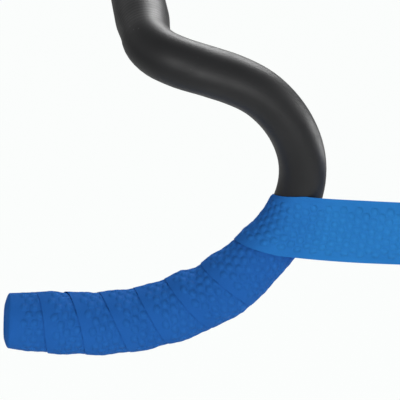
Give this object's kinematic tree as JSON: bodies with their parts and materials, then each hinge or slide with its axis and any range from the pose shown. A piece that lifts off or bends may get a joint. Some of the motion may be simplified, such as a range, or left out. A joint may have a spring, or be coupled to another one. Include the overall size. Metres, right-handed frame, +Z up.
{
  "type": "drop handlebar with bar tape roll",
  "caption": "Black road drop handlebar with blue cushioned tape wound up one drop, a free strip of the tape leaving the hook, and the rest of the tape still rolled up.",
  "frame": {"origin": "on the bar's axis, in the middle of the stem clamp", "axes": "+X forward, in the riding direction; +Y to the rider's left, along the straight tops; +Z up. The wound drop is the right one, at -Y."},
  "size_m": [0.2803, 0.4712, 0.1843],
  "materials": {
    "handlebar": "satin black",
    "bar_tape": "matt blue foam with rows of raised round domes"
  },
  "bodies": {
    "root": {"handlebar": "handlebar", "bar_tape": "bar_tape"}
  },
  "joints": []
}
